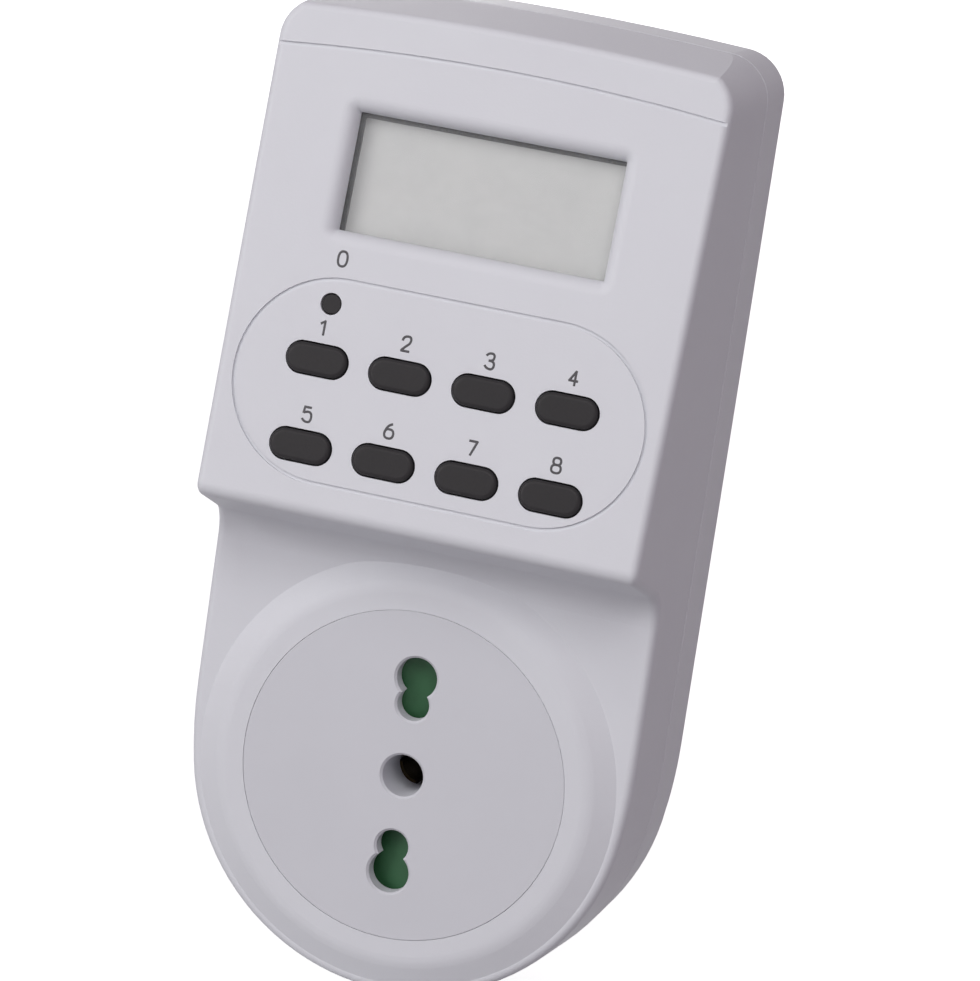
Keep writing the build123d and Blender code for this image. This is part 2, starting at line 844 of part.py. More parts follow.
# Key cap with its flange and plunger; its top stands proud of the panel
def key(row, column):
    place = Pos(*key_place(row, column))
    cap = sunk(place * SlotOverall(key_length, key_width), -key_proud, key_bottom_depth)
    top = cap.faces().sort_by(Axis((0, 0, 0), (0, -tilt_cos, tilt_sin)))[-1]
    cap = fillet(top.edges(), key_round)
    skirt = place * SlotOverall(key_length + 2 * key_flange, key_width + 2 * key_flange)
    cap += sunk(skirt, wall + rest_gap, key_bottom_depth)
    foot = place * Circle(plunger_radius)
    return cap + sunk(foot, wall + rest_gap, key_bottom_depth + plunger_length)


def reset_button():
    place = Pos(reset_x, reset_height)
    button = sunk(place * Circle(reset_radius), reset_sink, key_bottom_depth + plunger_length)
    return button + sunk(place * Circle(reset_radius + key_flange), wall + rest_gap, key_bottom_depth)


# Bonded chip under its drop of resin, on the back of the control board
def controller_chip():
    place = panel.location * Pos(chip_x, display_height - chip_below_display, -board_back_depth)
    stands_up = (Align.CENTER, Align.CENTER, Align.MIN)
    return place * Rot(180, 0, 0) * Cone(chip_radius, chip_top_radius, chip_rise, align=stands_up)


def quartz_crystal():
    depth = board_back_depth + crystal_radius + crystal_lift
    place = panel.location * Pos(crystal_x, display_height - crystal_below_display, -depth)
    return place * Rot(0, 90, 0) * Cylinder(crystal_radius, crystal_length)


def power_board():
    height = power_board_high - power_board_low
    sheet = Rectangle(2 * power_board_half_width, height)
    sheet = Pos(0, (power_board_low + power_board_high) / 2) * sheet
    for x, z in power_screw_places:
        sheet -= Pos(x, z) * Circle(small_shank_radius + slot_play)
    return slab(sheet, power_front_y, power_back_y)


# A moulded box on the power board, with its upright edges rounded
def boxed_part(at, size, edge):
    shape = Pos(*at) * RectangleRounded(size[0], size[1], edge)
    return slab(shape, power_front_y - size[2], power_front_y)


# A round can standing on the power board, drawn in by a groove round its side
def grooved_can(at, radius, height, groove_low, groove_span, groove_inset):
    can = rod(radius, power_front_y - height, power_front_y, *at)
    groove_y = power_front_y - groove_low
    ring = rod(radius + beyond, groove_y - groove_span, groove_y, *at)
    ring -= rod(radius - groove_inset, groove_y - height, power_front_y, *at)
    return can - ring


# A round part lying along X, carried by two bent legs
def axial_part(x, z, radius, length):
    middle_y = power_front_y - radius - leg_lift
    body = Pos(x, middle_y, z) * Rot(0, 90, 0) * Cylinder(radius, length)
    body += Pos(x, middle_y, z) * Rot(0, 90, 0) * Cylinder(leg_radius, length + 2 * leg_reach)
    for side in (-1, 1):
        leg_x = x + side * (length / 2 + leg_reach)
        body += rod(leg_radius, middle_y, power_front_y, leg_x, z)
        body += Pos(leg_x, middle_y, z) * Sphere(leg_radius)
    return body


def rectifier_diodes():
    diodes = [
        axial_part(diode_x, diode_first_z + step * diode_pitch, diode_radius, diode_length)
        for step in range(4)
    ]
    return Compound(children=diodes)


def surge_varistor():
    x, z = varistor_at
    middle_y = power_front_y - varistor_radius - varistor_lift
    disc = Pos(x, middle_y, z) * Cylinder(varistor_radius, varistor_thickness)
    for side in (-1, 1):
        disc += rod(leg_radius, middle_y, power_front_y, x + side * varistor_leg_x, z)
    return disc


# An insulated lead that leaves its tab square, climbs, and lands square on the power board
def lead(x, tab_y, front_y):
    path = FilletPolyline(
        (x, tab_y, lead_tab_z),
        (x, front_y, lead_tab_z),
        (x, front_y, lead_board_z),
        (x, power_front_y, lead_board_z),
        radius=lead_bend,
    )
    section = Plane(origin=(x, tab_y, lead_tab_z), z_dir=path % 0) * Circle(lead_radius)
    return sweep(section, path=path)


# Flat cable bent once between the two boards
def ribbon_cable():
    lift = (ribbon_z - panel_foot_z + board_back_depth * tilt_sin) / tilt_cos
    start_y = panel_foot_y + lift * tilt_sin + board_back_depth * tilt_cos
    line = FilletPolyline(
        (start_y, ribbon_z),
        (start_y + ribbon_run * tilt_cos, ribbon_z - ribbon_run * tilt_sin),
        (power_front_y - ribbon_run, ribbon_z - ribbon_drop),
        (power_front_y, ribbon_z - ribbon_drop),
        radius=ribbon_bend,
    )
    band = trace(line, ribbon_thickness)
    sheet = Plane.YZ.offset(ribbon_x - ribbon_width / 2) * band
    return extrude(sheet, ribbon_width)


# Pan-head screw with a cross recess, head towards +Z and seat at the origin
def pan_screw(shank_radius, length, head_radius, head_height):
    head = Cylinder(head_radius, head_height, align=(Align.CENTER, Align.CENTER, Align.MIN))
    head = fillet(head.edges().group_by(Axis.Z)[-1], head_height * head_round_share)
    shank = Cylinder(shank_radius, length, align=(Align.CENTER, Align.CENTER, Align.MAX))
    screw = head + shank
    slot = Pos(0, 0, head_height) * Box(2 * head_radius * cross_share, cross_slot, head_height)
    return screw - slot - Rot(0, 0, 90) * slot


def case_screws():
    screw = pan_screw(screw_shank_radius, screw_length, screw_head_radius, screw_head_height)
    return Compound(
        children=[Pos(x, -screw_well_depth, z) * Rot(-90, 0, 0) * screw for x, z in screw_places]
    )


def small_screw(length):
    return pan_screw(small_shank_radius, length, small_head_radius, small_head_height)


def board_screws():
    screw = small_screw(small_screw_length)
    return Compound(
        children=[
            panel.location * Pos(x, height, -board_back_depth) * Rot(180, 0, 0) * screw
            for x, height in board_screw_places
        ]
    )


def power_board_screws():
    screw = small_screw(board_thickness + power_post)
    return Compound(
        children=[Pos(x, power_front_y, z) * Rot(90, 0, 0) * screw for x, z in power_screw_places]
    )


pieces = {
    "front_cover": front_cover(),
    "rear_cover": rear_cover(),
    "socket_insert": socket_insert(),
    "shutter": shutter(),
    "shutter_spring": shutter_spring(),
    "contact_block": contact_block(),
    "line_contact": line_contact(),
    "neutral_contact": neutral_contact(),
    "earth_contact": earth_contact(),
    "line_strip": line_strip(),
    "plug_base": plug_base(),
    "line_pin": plug_pin(pin_spacing, True),
    "neutral_pin": plug_pin(-pin_spacing, True),
    "earth_pin": plug_pin(0, False),
    "pin_sleeves": pin_sleeves(),
    "display_window": display_window(),
    "lcd_glass": lcd_glass(),
    "lcd_frame": lcd_frame(),
    "zebra_strips": zebra_strips(),
    "control_board": control_board(),
    "controller_chip": controller_chip(),
    "quartz_crystal": quartz_crystal(),
    "keypad_mat": keypad_mat(),
    "reset_button": reset_button(),
    "power_board": power_board(),
    "relay": boxed_part(relay_at, relay_size, relay_edge),
    "film_capacitor": boxed_part(film_capacitor_at, film_capacitor_size, film_capacitor_edge),
    "filter_capacitor": grooved_can(
        filter_capacitor_at,
        filter_capacitor_radius,
        filter_capacitor_height,
        crimp_height,
        crimp_width,
        crimp_depth,
    ),
    "backup_battery": grooved_can(
        battery_at, battery_radius, battery_height, waist_height, waist_width, waist_depth
    ),
    "rectifier_diodes": rectifier_diodes(),
    "surge_resistor": axial_part(*resistor_at, resistor_radius, resistor_length),
    "surge_varistor": surge_varistor(),
    "ribbon_cable": ribbon_cable(),
    "line_lead": lead(strip_x, strip_front_y, strip_front_y - lead_bow),
    "neutral_lead": lead(-strip_x, strip_front_y, strip_front_y - lead_bow),
    "load_lead": lead(0, brass - contact_front, -load_lead_front),
    "case_screws": case_screws(),
    "board_screws": board_screws(),
    "power_board_screws": power_board_screws(),
}
for row, names in enumerate(key_names):
    for column, name in enumerate(names):
        pieces[name] = key(row, column)

os.makedirs("parts", exist_ok=True)
for name, piece in pieces.items():
    export_step(piece, f"parts/{name}.step")
    print(name, round(piece.volume, 1))
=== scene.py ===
import json
from math import cos, radians, sin

import bpy
from mathutils import Matrix, Vector


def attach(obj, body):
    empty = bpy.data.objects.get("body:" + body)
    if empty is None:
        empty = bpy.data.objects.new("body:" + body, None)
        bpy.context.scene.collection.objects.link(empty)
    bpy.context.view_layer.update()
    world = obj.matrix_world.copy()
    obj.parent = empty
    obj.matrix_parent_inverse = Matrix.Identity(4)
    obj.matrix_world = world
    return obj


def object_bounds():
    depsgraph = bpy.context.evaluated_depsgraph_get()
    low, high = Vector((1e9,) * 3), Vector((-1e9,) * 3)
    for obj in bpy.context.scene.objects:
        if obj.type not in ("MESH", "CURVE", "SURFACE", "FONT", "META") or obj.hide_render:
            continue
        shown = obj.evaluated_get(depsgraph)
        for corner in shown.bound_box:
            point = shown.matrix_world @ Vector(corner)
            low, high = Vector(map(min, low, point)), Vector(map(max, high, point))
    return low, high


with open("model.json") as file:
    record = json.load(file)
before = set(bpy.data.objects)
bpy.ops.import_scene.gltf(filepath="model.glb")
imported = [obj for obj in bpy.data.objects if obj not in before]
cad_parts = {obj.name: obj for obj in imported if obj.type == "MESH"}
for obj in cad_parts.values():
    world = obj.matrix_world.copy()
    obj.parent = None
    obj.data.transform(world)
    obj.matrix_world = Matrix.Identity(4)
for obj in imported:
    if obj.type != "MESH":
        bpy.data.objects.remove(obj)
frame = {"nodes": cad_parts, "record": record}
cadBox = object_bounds()
nodes = frame["nodes"]
mm = 0.001
print("frame loaded:", len(nodes), "pieces")


# Small helpers

# An sRGB hex value as linear red, green, blue and alpha
def hexColour(code):
    channels = [int(code[i:i + 2], 16) / 255 for i in (1, 3, 5)]
    return [c / 12.92 if c <= 0.04045 else ((c + 0.055) / 1.055) ** 2.4 for c in channels] + [1.0]


# A setting goes to the socket of that name or number, or else to the node's own property
def addNode(tree, kind, settings={}, links={}):
    node = tree.nodes.new(kind)
    for name, value in settings.items():
        if isinstance(name, int) or name in node.inputs:
            node.inputs[name].default_value = value
        else:
            setattr(node, name, value)
    for name, source in links.items():
        tree.links.new(source, node.inputs[name])
    return node


def deselectAll():
    if bpy.context.object and bpy.context.object.mode != "OBJECT":
        bpy.ops.object.mode_set(mode="OBJECT")
    bpy.ops.object.select_all(action="DESELECT")


# Camera, at the photograph's angle

cameraLook = {
    "aim": (0.00736, -0.03, 0.04017),
    "distance": 0.6081,
    "azimuth": 15.532,  # degrees round from the front, towards the right side
    "elevation": 12.076,
    "roll": 8.478,
    "lens": 178.48,
    "sensor": 36,
    "nearest": 0.01,  # what it shows lies between these distances
    "farthest": 20,
}


def makeCamera():
    azimuth = radians(cameraLook["azimuth"])
    elevation = radians(cameraLook["elevation"])
    back = Vector((sin(azimuth) * cos(elevation), -cos(azimuth) * cos(elevation), sin(elevation)))
    bpy.ops.object.camera_add(location=Vector(cameraLook["aim"]) + back * cameraLook["distance"])
    camera = bpy.context.object
    camera.name = "photoCamera"
    level = back.to_track_quat("Z", "Y").to_matrix().to_4x4()
    turn = level @ Matrix.Rotation(radians(cameraLook["roll"]), 4, "Z")
    camera.rotation_euler = turn.to_euler()
    camera.data.lens = cameraLook["lens"]
    camera.data.sensor_width = cameraLook["sensor"]
    camera.data.clip_start = cameraLook["nearest"]
    camera.data.clip_end = cameraLook["farthest"]
    bpy.context.scene.camera = camera


makeCamera()
print("camera placed")


# Floor, backdrop and light

studio = {
    "floorSize": 6.0,
    "floorDrop": 0.2,  # mm from the part down to the floor
    "floorHex": "#b6b6b8",
    "floorGlow": 0.9,  # to the rays that show the floor, so that it is pale with a faint shadow
    "backdropHex": "#ffffff",
    "backdrop": 1.0,
    "ambientHex": "#ffd0f6",
    "ambient": 0.10,
    "lampAim": (0, -0.02, 0.035),
}
lamps = {
    # name: place, size, watts, hex
    "leftSoftbox": ((-0.87, -1.056, 0.397), 0.6, 8.2, "#ffffff"),
    "topSoftbox": ((-0.082, -0.953, 1.075), 0.6, 3.8, "#ffffff"),
    "rightSoftbox": ((0.485, -1.059, 0.838), 0.6, 4.9, "#ffffff"),
    "sideCard": ((1.371, -0.262, 0.181), 0.6, 0.4, "#ffd4f7"),
    "backSoftbox": ((-0.62, 1.26, 0.12), 0.45, 9.0, "#ffffff"),
}


# 1 for the rays that show a background, also in a mirror or through glass, and 0 for the rest
def backdropRays(tree):
    path = addNode(tree, "ShaderNodeLightPath")
    seen = addNode(tree, "ShaderNodeMath", {"operation": "MAXIMUM"},
                   {0: path.outputs["Is Camera Ray"], 1: path.outputs["Is Transmission Ray"]})
    return addNode(tree, "ShaderNodeMath", {"operation": "MAXIMUM"},
                   {0: seen.outputs[0], 1: path.outputs["Is Glossy Ray"]})


def makeFloor():
    deselectAll()
    level = cadBox[0].z - studio["floorDrop"] * mm
    bpy.ops.mesh.primitive_plane_add(size=studio["floorSize"], location=(0, 0, level))
    floor = bpy.context.object
    floor.name = "floor"
    material = bpy.data.materials.new("pale paper floor")
    material.use_nodes = True
    tree = material.node_tree
    tree.nodes.clear()
    seen = backdropRays(tree)
    diffuse = addNode(tree, "ShaderNodeBsdfDiffuse", {"Color": hexColour(studio["floorHex"])})
    strength = addNode(tree, "ShaderNodeMath",
                       {"operation": "MULTIPLY", 1: studio["floorGlow"]},
                       {0: seen.outputs[0]})
    glow = addNode(tree, "ShaderNodeEmission",
                   {"Color": hexColour(studio["backdropHex"])},
                   {"Strength": strength.outputs[0]})
    mixed = addNode(tree, "ShaderNodeAddShader", {}, {0: diffuse.outputs[0], 1: glow.outputs[0]})
    addNode(tree, "ShaderNodeOutputMaterial", {}, {"Surface": mixed.outputs[0]})
    floor.data.materials.append(material)


def makeLight():
    world = bpy.data.worlds.new("studio")
    bpy.context.scene.world = world
    world.use_nodes = True
    tree = world.node_tree
    tree.nodes.clear()
    seen = backdropRays(tree)
    ambient = addNode(tree, "ShaderNodeBackground",
                      {"Color": hexColour(studio["ambientHex"]), "Strength": studio["ambient"]})
    backdrop = addNode(tree, "ShaderNodeBackground",
                       {"Color": hexColour(studio["backdropHex"]), "Strength": studio["backdrop"]})
    mixed = addNode(tree, "ShaderNodeMixShader", {},
                    {0: seen.outputs[0], 1: ambient.outputs[0], 2: backdrop.outputs[0]})
    addNode(tree, "ShaderNodeOutputWorld", {}, {"Surface": mixed.outputs[0]})
    for name, (place, size, watts, colour) in lamps.items():
        bpy.ops.object.light_add(type="AREA", location=place)
        lamp = bpy.context.object
        lamp.name = name
        lamp.data.size = size
        lamp.data.energy = watts
        lamp.data.color = hexColour(colour)[:3]
        lamp.visible_camera = False
        aim = Vector(studio["lampAim"]) - Vector(place)
        lamp.rotation_euler = aim.to_track_quat("-Z", "Y").to_euler()


makeFloor()
makeLight()
print("floor and light made")


# Materials. Sizes in a look are real millimetres, and a pattern's scale is one over its
# size in metres. A grain finer than 0.25 mm is drawn at that size, two pixels wide.

firstColour, secondColour, mixedColour = 6, 7, 2  # sockets of a mix node that mixes colours
noiseSpan = {"From Min": 0.3, "From Max": 0.7}  # where nearly all of a noise's values lie


def startMaterial(name):
    material = bpy.data.materials.new(name)
    material.use_nodes = True
    material.node_tree.nodes.clear()
    place = addNode(material.node_tree, "ShaderNodeTexCoord").outputs["Object"]
    return material, material.node_tree, place


def endMaterial(tree, settings, links):
    shader = addNode(tree, "ShaderNodeBsdfPrincipled", settings, links)
    addNode(tree, "ShaderNodeOutputMaterial", {}, {"Surface": shader.outputs[0]})


plasticPattern = {"cloudDetail": 3.0, "grainDetail": 1.0, "coatRoughness": 0.08}
# name: colour, colour of the clouds in it, cloud size, grain size and height in mm,
# lowest and highest roughness, IOR, specular level, coat
plasticLooks = {
    # ABS from a spark-eroded mould: matt, a soft wide highlight, faint clouds from the flow
    "moulded ABS case": ("#dadce0", "#d6d7dc", 14, 0.30, 0.010, 0.50, 0.62, 1.54, 0.35, 0.0),
    # the same ABS, calmer from a smoother mould, and painted a shade greyer for the shade on the
    # lower face under the step
    "moulded ABS outlet face with painted shade": ("#d1d2d7", "#cdced3", 11, 0.26, 0.005, 0.48, 0.58, 1.54, 0.35, 0.0),
    # satin ABS keys: near black, with a soft even shine
    "satin ABS key": ("#242123", "#201e20", 3, 0.25, 0.006, 0.42, 0.56, 1.54, 0.2, 0.0),
    # unfilled nylon: slightly waxy green
    "green nylon shutter": ("#2f5e3c", "#295335", 4, 0.25, 0.004, 0.40, 0.52, 1.53, 0.3, 0.0),
    # glass-filled nylon: grey, with fibres drawn as a coarse grain
    "glass-filled nylon block": ("#cbcace", "#bdbcc2", 5, 0.45, 0.016, 0.45, 0.62, 1.53, 0.5, 0.0),
    # PBT sleeves on the pins: dark, smooth
    "black PBT sleeve": ("#2c2b2e", "#272629", 4, 0.25, 0.003, 0.30, 0.40, 1.54, 0.5, 0.0),
    # polystyrene frame behind the window: deep matt black, which paints the shade along the
    # window's top and left edges
    "styrene frame black as painted shade": ("#1d1c1f", "#19181b", 5, 0.25, 0.006, 0.50, 0.62, 1.59, 0.5, 0.0),
    # silicone rubber: dull, slightly dusty
    "silicone key mat": ("#9c9ba0", "#939297", 6, 0.30, 0.008, 0.60, 0.75, 1.41, 0.5, 0.0),
    # layers of conducting and plain silicone
    "layered silicone strip": ("#6b6a70", "#3c3b3f", 0.4, 0.25, 0.004, 0.55, 0.70, 1.41, 0.5, 0.0),
    # epoxy poured over the chip: glossy black with soft waves
    "poured epoxy": ("#17161a", "#131216", 3, 0.90, 0.030, 0.10, 0.22, 1.57, 0.5, 0.6),
    # PBT relay box, smooth black
    "moulded PBT relay": ("#1f2024", "#1b1b1f", 8, 0.25, 0.006, 0.30, 0.42, 1.54, 0.5, 0.0),
    # flame-proof box filled with resin: ochre, half gloss
    "film capacitor box": ("#b9902c", "#ad8628", 6, 0.30, 0.006, 0.24, 0.36, 1.55, 0.5, 0.2),
    # lacquer over ceramic: beige, dull
    "cement lacquer resistor": ("#b6a685", "#ab9b79", 2, 0.25, 0.010, 0.48, 0.62, 1.52, 0.5, 0.0),
    # epoxy the disc was dipped in: blue, glossy, a little uneven
    "dipped epoxy varistor": ("#27438c", "#223c80", 3, 1.10, 0.040, 0.16, 0.28, 1.57, 0.5, 0.5),
    # moulded epoxy diodes: black, slightly dull
    "moulded epoxy diode": ("#222124", "#1d1c1f", 2, 0.25, 0.005, 0.38, 0.50, 1.57, 0.5, 0.0),
    # PVC insulation, extruded: smooth, with long soft waves
    "brown PVC lead": ("#6a3c22", "#60361f", 3, 0.60, 0.006, 0.26, 0.38, 1.53, 0.5, 0.1),
    "blue PVC lead": ("#2a52a0", "#254a93", 3, 0.60, 0.006, 0.26, 0.38, 1.53, 0.5, 0.1),
    "black PVC lead": ("#232326", "#1f1f22", 3, 0.60, 0.006, 0.26, 0.38, 1.53, 0.5, 0.1),
    "grey PVC ribbon": ("#b2b2b6", "#a8a8ad", 4, 0.40, 0.006, 0.34, 0.46, 1.53, 0.5, 0.0),
}


def makePlastic(name, look):
    colour, cloudColour, cloud, grain, height, smooth, dull, ior, specular, coat = look
    material, tree, place = startMaterial(name)
    clouds = addNode(tree, "ShaderNodeTexNoise",
                     {"Scale": 1 / (cloud * mm), "Detail": plasticPattern["cloudDetail"]},
                     {"Vector": place})
    base = addNode(tree, "ShaderNodeMix",
                   {"data_type": "RGBA", firstColour: hexColour(colour),
                    secondColour: hexColour(cloudColour)},
                   {0: clouds.outputs[0]})
    pits = addNode(tree, "ShaderNodeTexNoise",
                   {"Scale": 1 / (grain * mm), "Detail": plasticPattern["grainDetail"]},
                   {"Vector": place})
    rough = addNode(tree, "ShaderNodeMapRange",
                    {**noiseSpan, "To Min": smooth, "To Max": dull},
                    {"Value": pits.outputs[0]})
    bump = addNode(tree, "ShaderNodeBump", {"Distance": height * mm}, {"Height": pits.outputs[0]})
    endMaterial(tree,
                {"IOR": ior, "Specular IOR Level": specular, "Coat Weight": coat,
                 "Coat Roughness": plasticPattern["coatRoughness"]},
                {"Base Color": base.outputs[mixedColour], "Roughness": rough.outputs[0],
                 "Normal": bump.outputs[0]})
    return material


metalPattern = {"stainDetail": 2.0, "markDetail": 2.0}
# name: colour, colour of the stains, stain size in mm, size of the tool marks in mm across,
# into the wall and up, height of the marks in mm, lowest and highest roughness
metalLooks = {
    # brass strip, stamped: warm, with rolling marks along the strip
    "stamped brass": ("#c9a154", "#b98f47", 3, (0.25, 0.25, 4.0), 0.003, 0.28, 0.42),
    # brass deep in the earth hole: dull, and painted dark brown for the shade in the hole
    "brass sleeve painted dark for shade": ("#54462f", "#443826", 2, (3.0, 0.30, 3.0), 0.001, 0.40, 0.55),
    # nickel on turned brass: warm grey, fine rings round the pin
    "nickel-plated brass pin": ("#cfcac2", "#c3beb6", 5, (6.0, 0.30, 6.0), 0.001, 0.24, 0.34),
    # bright zinc on steel: cool grey, slightly patchy
    "zinc-plated steel screw": ("#b9bcc2", "#a9aab4", 1.5, (1.0, 0.25, 1.0), 0.002, 0.30, 0.45),
    # hard drawn wire: mid grey, bright along its drawing marks
    "drawn spring steel": ("#9b9b9e", "#8b8b8f", 1, (0.25, 0.25, 1.5), 0.002, 0.25, 0.38),
    # deep drawn can, bright nickel
    "drawn nickel can": ("#c6c6ca", "#bdbdc1", 4, (5.0, 0.25, 0.25), 0.002, 0.24, 0.34),
    # button cell pressed from nickel-plated steel
    "pressed nickel-plated cell": ("#c0bfc0", "#b2b1b3", 4, (3.0, 0.25, 0.25), 0.002, 0.26, 0.38),
}


def makeMetal(name, look):
    colour, stainColour, stain, markSize, height, smooth, dull = look
    material, tree, place = startMaterial(name)
    stains = addNode(tree, "ShaderNodeTexNoise",
                     {"Scale": 1 / (stain * mm), "Detail": metalPattern["stainDetail"]},
                     {"Vector": place})
    base = addNode(tree, "ShaderNodeMix",
                   {"data_type": "RGBA", firstColour: hexColour(colour),
                    secondColour: hexColour(stainColour)},
                   {0: stains.outputs[0]})
    stretch = [1 / (size * mm) for size in markSize]
    drawn = addNode(tree, "ShaderNodeMapping", {"Scale": stretch}, {"Vector": place})
    marks = addNode(tree, "ShaderNodeTexNoise",
                    {"Scale": 1.0, "Detail": metalPattern["markDetail"]},
                    {"Vector": drawn.outputs[0]})
    rough = addNode(tree, "ShaderNodeMapRange",
                    {**noiseSpan, "To Min": smooth, "To Max": dull},
                    {"Value": marks.outputs[0]})
    bump = addNode(tree, "ShaderNodeBump", {"Distance": height * mm}, {"Height": marks.outputs[0]})
    endMaterial(tree, {"Metallic": 1.0},
                {"Base Color": base.outputs[mixedColour], "Roughness": rough.outputs[0],
                 "Normal": bump.outputs[0]})
    return material


# Acrylic window: clear, flat, with a faint veil of dust and a soft reflection
windowLook = {
    "hex": "#e9ecec",
    "clear": 0.10,  # how much it hides where it is clean, and then where dust lies
    "dusty": 0.15,
    "dust": 6,
    "dustDetail": 4.0,
    "dustSpan": (0.35, 0.65),
    "roughness": 0.12,
    "ior": 1.49,
}


def makeWindow():
    material, tree, place = startMaterial("clear acrylic window")
    dust = addNode(tree, "ShaderNodeTexNoise",
                   {"Scale": 1 / (windowLook["dust"] * mm), "Detail": windowLook["dustDetail"]},
                   {"Vector": place})
    least, most = windowLook["dustSpan"]
    veil = addNode(tree, "ShaderNodeMapRange",
                   {"From Min": least, "From Max": most,
                    "To Min": windowLook["clear"], "To Max": windowLook["dusty"]},
                   {"Value": dust.outputs[0]})
    endMaterial(tree,
                {"Base Color": hexColour(windowLook["hex"]),
                 "Roughness": windowLook["roughness"], "IOR": windowLook["ior"]},
                {"Alpha": veil.outputs[0]})
    return material


# Display glass over a grey reflector: an even, silky grey whose fine sparkle comes from
# the reflector's grain, drawn here at 0.3 mm
displayLook = {
    "hex": "#cfd0cd",
    "shadeHex": "#c8c9c7",
    "cloud": 9,
    "cloudDetail": 1.0,
    "sparkle": 0.30,
    "smooth": 0.30,
    "dull": 0.46,
    "coat": 0.4,
    "coatRoughness": 0.05,
    "ior": 1.52,
}


def makeDisplay():
    material, tree, place = startMaterial("reflective display glass")
    clouds = addNode(tree, "ShaderNodeTexNoise",
                     {"Scale": 1 / (displayLook["cloud"] * mm),
                      "Detail": displayLook["cloudDetail"]},
                     {"Vector": place})
    base = addNode(tree, "ShaderNodeMix",
                   {"data_type": "RGBA", firstColour: hexColour(displayLook["hex"]),
                    secondColour: hexColour(displayLook["shadeHex"])},
                   {0: clouds.outputs[0]})
    sparkle = addNode(tree, "ShaderNodeTexVoronoi",
                      {"Scale": 1 / (displayLook["sparkle"] * mm)},
                      {"Vector": place})
    rough = addNode(tree, "ShaderNodeMapRange",
                    {"To Min": displayLook["smooth"], "To Max": displayLook["dull"]},
                    {"Value": sparkle.outputs["Distance"]})
    endMaterial(tree,
                {"Coat Weight": displayLook["coat"],
                 "Coat Roughness": displayLook["coatRoughness"], "IOR": displayLook["ior"]},
                {"Base Color": base.outputs[mixedColour], "Roughness": rough.outputs[0]})
    return material


# Paper laminate boards: brown, with darker tracks seen through the lacquer
boardLook = {
    "hex": "#9b7742",
    "trackHex": "#7f7a3c",
    "pitch": 2.54,  # from track to track
    "trackRun": 4,  # pitches from one cross track to the next
    "stagger": 0.35,  # of a run, that the cross tracks shift by from row to row
    "halfTrack": 0.35,  # half of a track's width
    "edgeSoftness": 0.1,
    "trackHeight": 0.03,
    "fibre": 0.6,
    "fibreDetail": 3.0,
    "smooth": 0.28,
    "dull": 0.50,
    "ior": 1.55,
}


def makeBoard():
    material, tree, place = startMaterial("lacquered paper laminate board")
    # a brick pattern lies flat, and the boards stand up
    upright = addNode(tree, "ShaderNodeMapping", {"Rotation": (radians(90), 0, 0)},
                      {"Vector": place})
    pitch = boardLook["pitch"] * mm
    tracks = addNode(tree, "ShaderNodeTexBrick",
                     {"offset": boardLook["stagger"], "Scale": 1.0,
                      "Mortar Size": boardLook["halfTrack"] * mm,
                      "Mortar Smooth": boardLook["edgeSoftness"],
                      "Brick Width": boardLook["trackRun"] * pitch, "Row Height": pitch},
                     {"Vector": upright.outputs[0]})
    base = addNode(tree, "ShaderNodeMix",
                   {"data_type": "RGBA", firstColour: hexColour(boardLook["hex"]),
                    secondColour: hexColour(boardLook["trackHex"])},
                   {0: tracks.outputs["Fac"]})
    fibres = addNode(tree, "ShaderNodeTexNoise",
                     {"Scale": 1 / (boardLook["fibre"] * mm), "Detail": boardLook["fibreDetail"]},
                     {"Vector": place})
    rough = addNode(tree, "ShaderNodeMapRange",
                    {**noiseSpan, "To Min": boardLook["smooth"], "To Max": boardLook["dull"]},
                    {"Value": fibres.outputs[0]})
    raised = addNode(tree, "ShaderNodeBump",
                     {"Distance": boardLook["trackHeight"] * mm},
                     {"Height": tracks.outputs["Fac"]})
    endMaterial(tree, {"IOR": boardLook["ior"]},
                {"Base Color": base.outputs[mixedColour], "Roughness": rough.outputs[0],
                 "Normal": raised.outputs[0]})
    return material


# Shrunk PVC sleeve of the electrolytic: dark, with one pale stripe down its side
sleeveLook = {
    "hex": "#1e2233",
    "stripeHex": "#b9bac0",
    "stripeFrom": 20.6,  # mm to the right of the outlet's middle
    "stripeTo": 22.4,
    "wave": 1.2,
    "waveHeight": 0.02,
    "roughness": 0.22,
    "ior": 1.53,
}


def makeSleeve():
    material, tree, place = startMaterial("shrunk PVC capacitor sleeve")
    across = addNode(tree, "ShaderNodeSeparateXYZ", {}, {0: place}).outputs["X"]
    after = addNode(tree, "ShaderNodeMath",
                    {"operation": "GREATER_THAN", 1: sleeveLook["stripeFrom"] * mm},
                    {0: across})
    before = addNode(tree, "ShaderNodeMath",
                     {"operation": "LESS_THAN", 1: sleeveLook["stripeTo"] * mm},
                     {0: across})
    stripe = addNode(tree, "ShaderNodeMath", {"operation": "MULTIPLY"},
                     {0: after.outputs[0], 1: before.outputs[0]})
    base = addNode(tree, "ShaderNodeMix",
                   {"data_type": "RGBA", firstColour: hexColour(sleeveLook["hex"]),
                    secondColour: hexColour(sleeveLook["stripeHex"])},
                   {0: stripe.outputs[0]})
    waves = addNode(tree, "ShaderNodeTexNoise",
                    {"Scale": 1 / (sleeveLook["wave"] * mm)},
                    {"Vector": place})
    bump = addNode(tree, "ShaderNodeBump",
                   {"Distance": sleeveLook["waveHeight"] * mm},
                   {"Height": waves.outputs[0]})
    endMaterial(tree, {"Roughness": sleeveLook["roughness"], "IOR": sleeveLook["ior"]},
                {"Base Color": base.outputs[mixedColour], "Normal": bump.outputs[0]})
    return material


# Pad-printed ink: dark grey, half gloss, a little thin here and there
inkLook = {
    "hex": "#373539",
    "thinHex": "#464449",
    "patch": 0.5,
    "patchDetail": 2.0,
    "patchSpan": (0.45, 0.75),
    "roughness": 0.45,
    "ior": 1.5,
}


